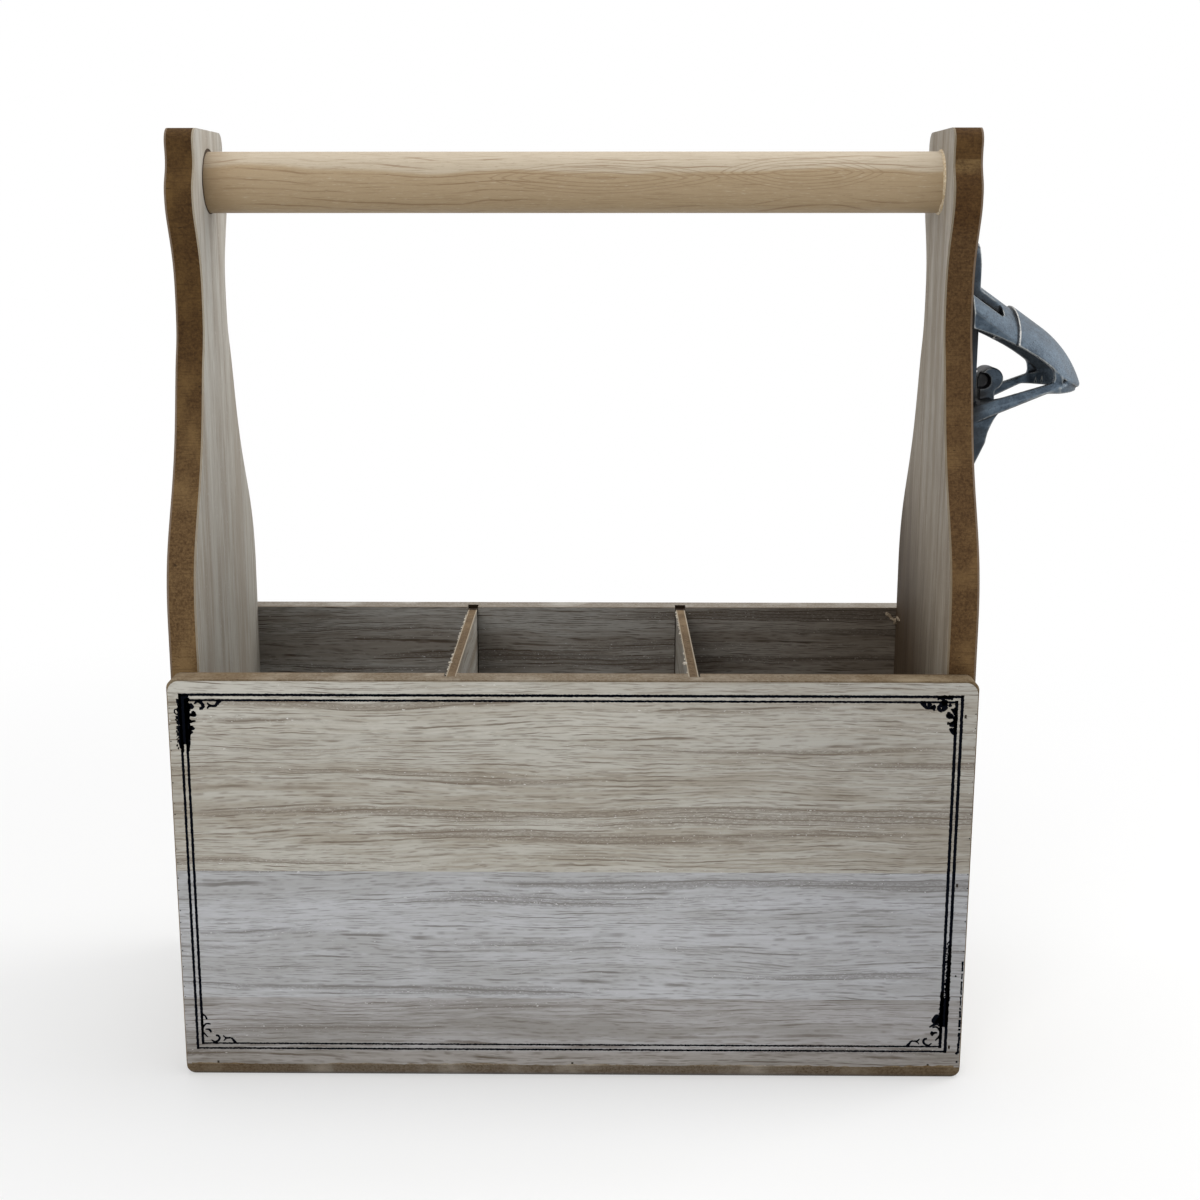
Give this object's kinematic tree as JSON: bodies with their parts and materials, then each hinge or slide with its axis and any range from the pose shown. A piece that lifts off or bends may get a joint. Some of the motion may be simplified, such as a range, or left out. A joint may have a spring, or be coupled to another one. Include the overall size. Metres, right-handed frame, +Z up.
{
  "type": "bottle caddy",
  "caption": "Wooden bottle caddy with lift-out dividers, ogee ends, a dowel carrying handle and a cast bottle opener screwed to one end.",
  "frame": {"origin": "on the ground under the middle of the crate", "axes": "+Z up, -Y to the front panel, +X to the end that carries the opener"},
  "size_m": [0.2883, 0.11, 0.297],
  "materials": {
    "fibreboard": "bare sawn edge",
    "veneer": "whitewashed, matt",
    "dowel_wood": "sanded, bare",
    "cast_metal": "as cast, satin",
    "steel": "zinc plated"
  },
  "bodies": {
    "crate": {"front_panel_core": "fibreboard", "back_panel_core": "fibreboard", "left_end_core": "fibreboard", "right_end_core": "fibreboard", "floor_core": "fibreboard", "front_face_veneer": "veneer", "front_inside_veneer": "veneer", "back_face_veneer": "veneer", "back_inside_veneer": "veneer", "left_end_face_veneer": "veneer", "left_end_inside_veneer": "veneer", "right_end_face_veneer": "veneer", "right_end_inside_veneer": "veneer", "floor_under_veneer": "veneer", "floor_top_veneer": "veneer", "handle_dowel": "dowel_wood", "opener_body": "cast_metal", "opener_screws": "steel", "front_brads": "steel", "back_brads": "steel"},
    "left_divider": {"left_divider_core": "fibreboard", "left_divider_veneers": "veneer"},
    "right_divider": {"right_divider_core": "fibreboard", "right_divider_veneers": "veneer"}
  },
  "joints": [
    {"name": "left_divider_lift", "type": "slide", "parent": "crate", "child": "left_divider", "axis": [0, 0, 1], "range_m": [0, 0.128]},
    {"name": "right_divider_lift", "type": "slide", "parent": "crate", "child": "right_divider", "axis": [0, 0, 1], "range_m": [0, 0.128]}
  ]
}
